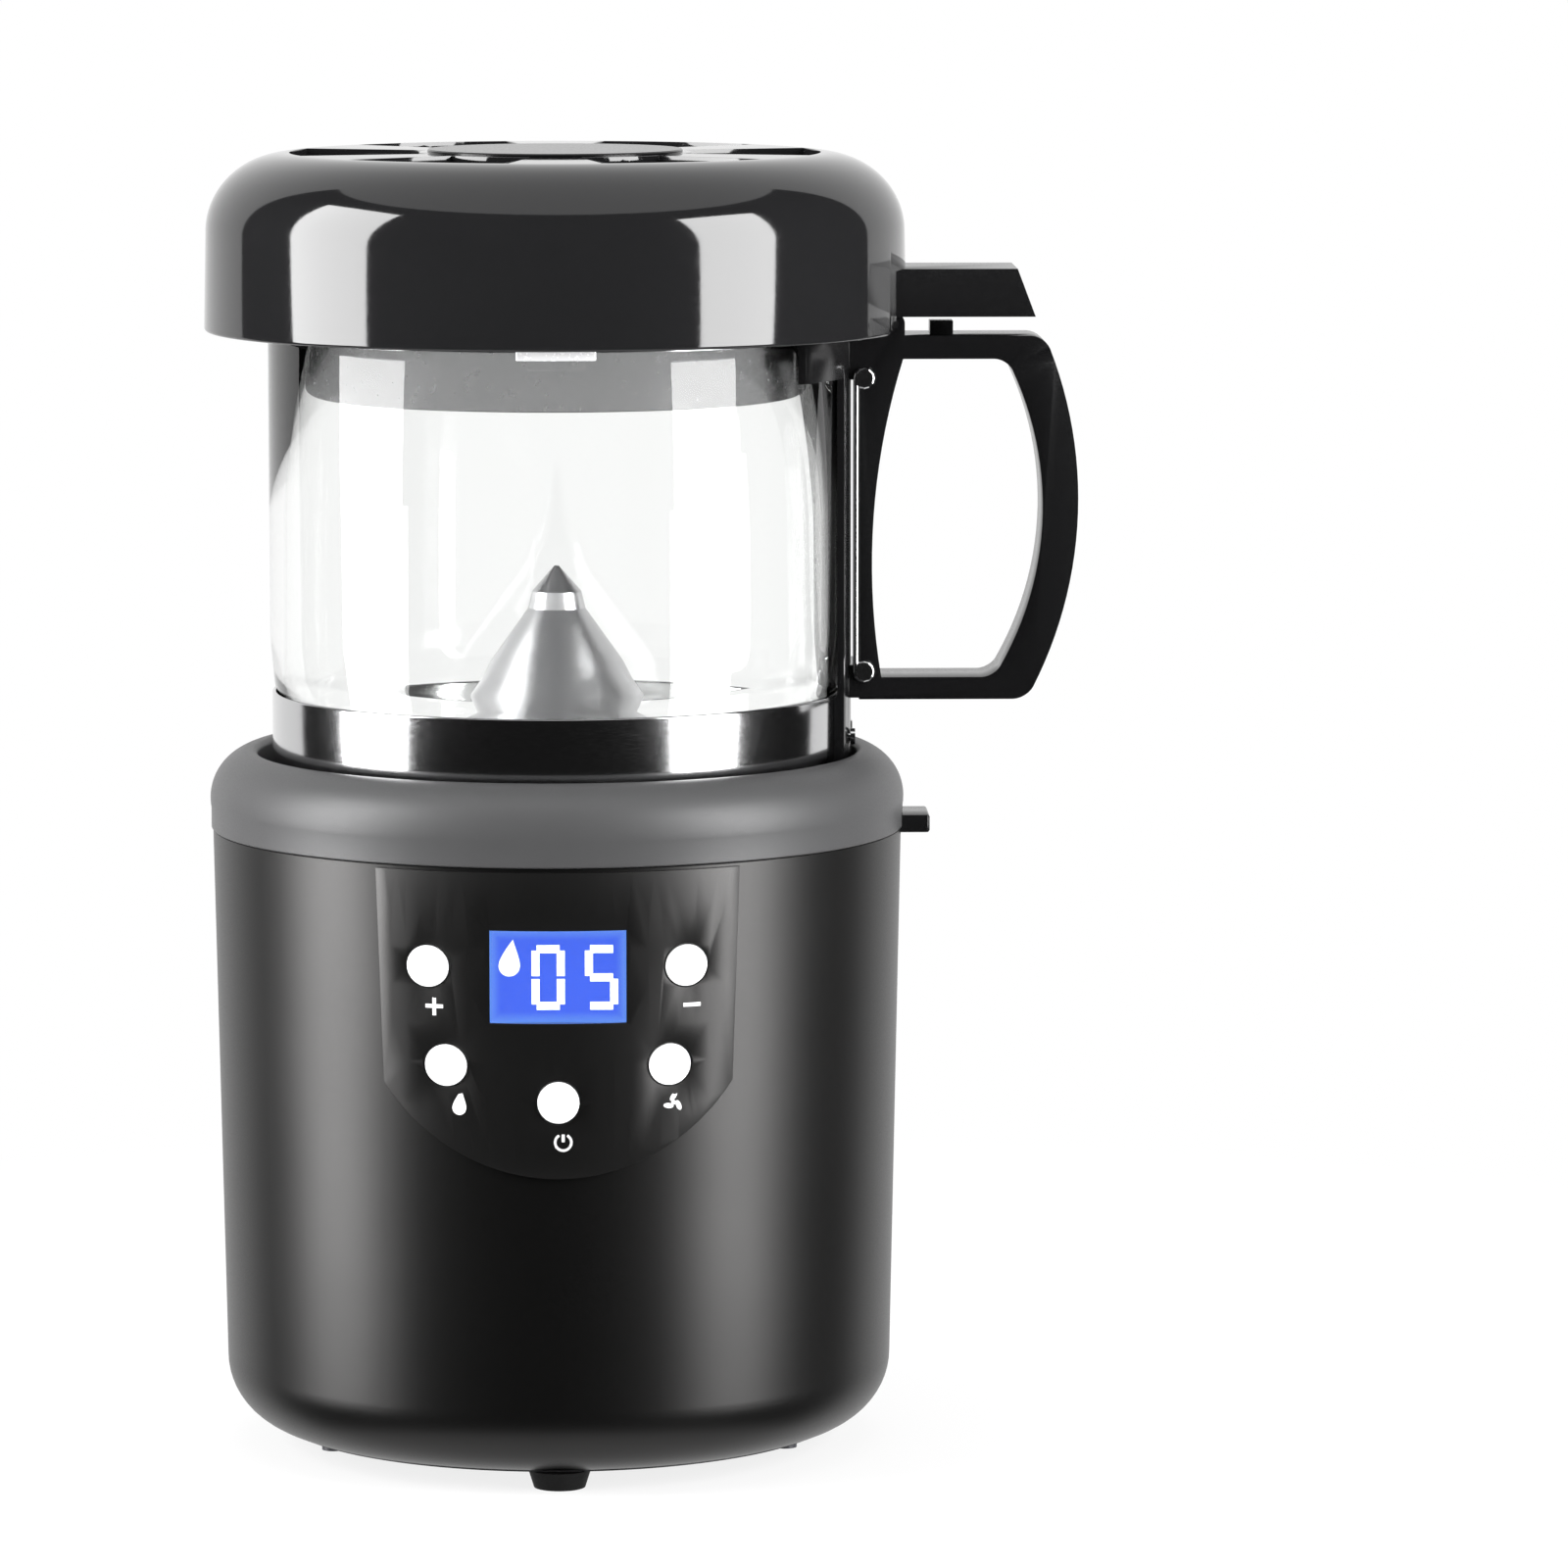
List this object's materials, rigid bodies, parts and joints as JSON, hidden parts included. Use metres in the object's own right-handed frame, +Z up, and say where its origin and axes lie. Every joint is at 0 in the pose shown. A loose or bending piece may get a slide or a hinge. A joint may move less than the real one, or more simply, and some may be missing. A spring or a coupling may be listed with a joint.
{
  "type": "home coffee bean roaster",
  "caption": "Countertop hot-air coffee bean roaster: round metal motor base with control panel and display, lift-off glass roasting chamber with D-handle, and hinged vented dome lid.",
  "frame": {"origin": "under the middle of the whole outline, at the plane the feet stand on; the chamber's vertical axis is at x = -20.74 mm, y = 0", "axes": "+Z up, +X towards the handle, -Y towards the user and the control panel"},
  "size_m": [0.2122, 0.1708, 0.3172],
  "materials": {
    "anthracite_body": "satin metallic",
    "dark_plastic": "matte",
    "grey_cap": "satin",
    "black_rubber": "matte",
    "bright_steel": "polished",
    "satin_steel": "satin",
    "polished_steel": "polished",
    "silicone": "matte",
    "mica": "matte",
    "heater_wire": "oxidised",
    "electronics": "matte",
    "circuit_board": "satin",
    "clear_lens": "clear",
    "blue_display": "backlit",
    "white_button": "satin",
    "black_plastic": "satin",
    "gloss_black": "high gloss",
    "clear_glass": "clear"
  },
  "bodies": {
    "base": {"body_shell": "anthracite_body", "bottom_plate": "dark_plastic", "rubber_feet": "black_rubber", "foot_screws": "bright_steel", "tie_screws": "bright_steel", "tie_rods": "bright_steel", "base_cap": "grey_cap", "seat_seal": "silicone", "blower_housing": "dark_plastic", "housing_screws": "bright_steel", "motor_bracket": "satin_steel", "bracket_screws": "bright_steel", "fan_motor": "satin_steel", "air_duct": "satin_steel", "duct_screws": "bright_steel", "heater_former": "mica", "heating_coil": "heater_wire", "thermostat": "satin_steel", "thermal_fuse": "electronics", "power_board": "circuit_board", "power_parts": "electronics", "cord_grommet": "black_rubber", "control_panel": "anthracite_body", "display_lens": "clear_lens", "display_module": "blue_display", "display_holder": "dark_plastic", "control_board": "circuit_board", "board_screws": "bright_steel", "push_switches": "electronics", "latch_guide": "dark_plastic", "guide_screws": "bright_steel", "latch_spring": "bright_steel"},
    "fan_rotor": {"motor_shaft": "bright_steel", "fan_impeller": "dark_plastic"},
    "button_time_plus": {"button_time_plus": "white_button"},
    "button_time_minus": {"button_time_minus": "white_button"},
    "button_roast": {"button_roast": "white_button"},
    "button_cool": {"button_cool": "white_button"},
    "button_power": {"button_power": "white_button"},
    "release_latch": {"release_latch": "black_plastic"},
    "chamber": {"chamber_cup": "polished_steel", "chamber_floor": "satin_steel", "air_cone": "satin_steel", "cone_screw": "bright_steel", "glass_cylinder": "clear_glass", "glass_seal": "silicone", "handle": "black_plastic", "handle_rivets": "bright_steel", "clamp_band": "bright_steel", "tension_wire": "bright_steel", "wire_screws": "bright_steel", "hinge_pin": "bright_steel"},
    "lid": {"lid_shell": "gloss_black", "vent_hub": "black_plastic", "lid_neck": "polished_steel", "lid_seal": "silicone", "lid_screws": "bright_steel", "chaff_screen": "satin_steel", "lid_lever": "black_plastic", "lid_clip": "bright_steel"}
  },
  "joints": [
    {"name": "fan_spin", "type": "hinge", "parent": "base", "child": "fan_rotor", "pos_m": [-0.02074, 0, 0.07], "axis": [0, 0, 1], "continuous": true},
    {"name": "press_time_plus", "type": "slide", "parent": "base", "child": "button_time_plus", "axis": [0, 1, 0], "range_m": [0, 0.001], "stiffness_N_per_m": 400},
    {"name": "press_time_minus", "type": "slide", "parent": "base", "child": "button_time_minus", "axis": [0, 1, 0], "range_m": [0, 0.001], "stiffness_N_per_m": 400},
    {"name": "press_roast", "type": "slide", "parent": "base", "child": "button_roast", "axis": [0, 1, 0], "range_m": [0, 0.001], "stiffness_N_per_m": 400},
    {"name": "press_cool", "type": "slide", "parent": "base", "child": "button_cool", "axis": [0, 1, 0], "range_m": [0, 0.001], "stiffness_N_per_m": 400},
    {"name": "press_power", "type": "slide", "parent": "base", "child": "button_power", "axis": [0, 1, 0], "range_m": [0, 0.001], "stiffness_N_per_m": 400},
    {"name": "latch_push", "type": "slide", "parent": "base", "child": "release_latch", "axis": [-1, 0, 0], "range_m": [0, 0.003], "stiffness_N_per_m": 300, "deforming": ["latch_spring"]},
    {"name": "chamber_lift", "type": "slide", "parent": "base", "child": "chamber", "axis": [0, 0, 1], "range_m": [0, 0.06]},
    {"name": "lid_hinge", "type": "hinge", "parent": "chamber", "child": "lid", "pos_m": [0.06126, 0, 0.2752], "axis": [0, 1, 0], "range_deg": [0, 22]}
  ]
}
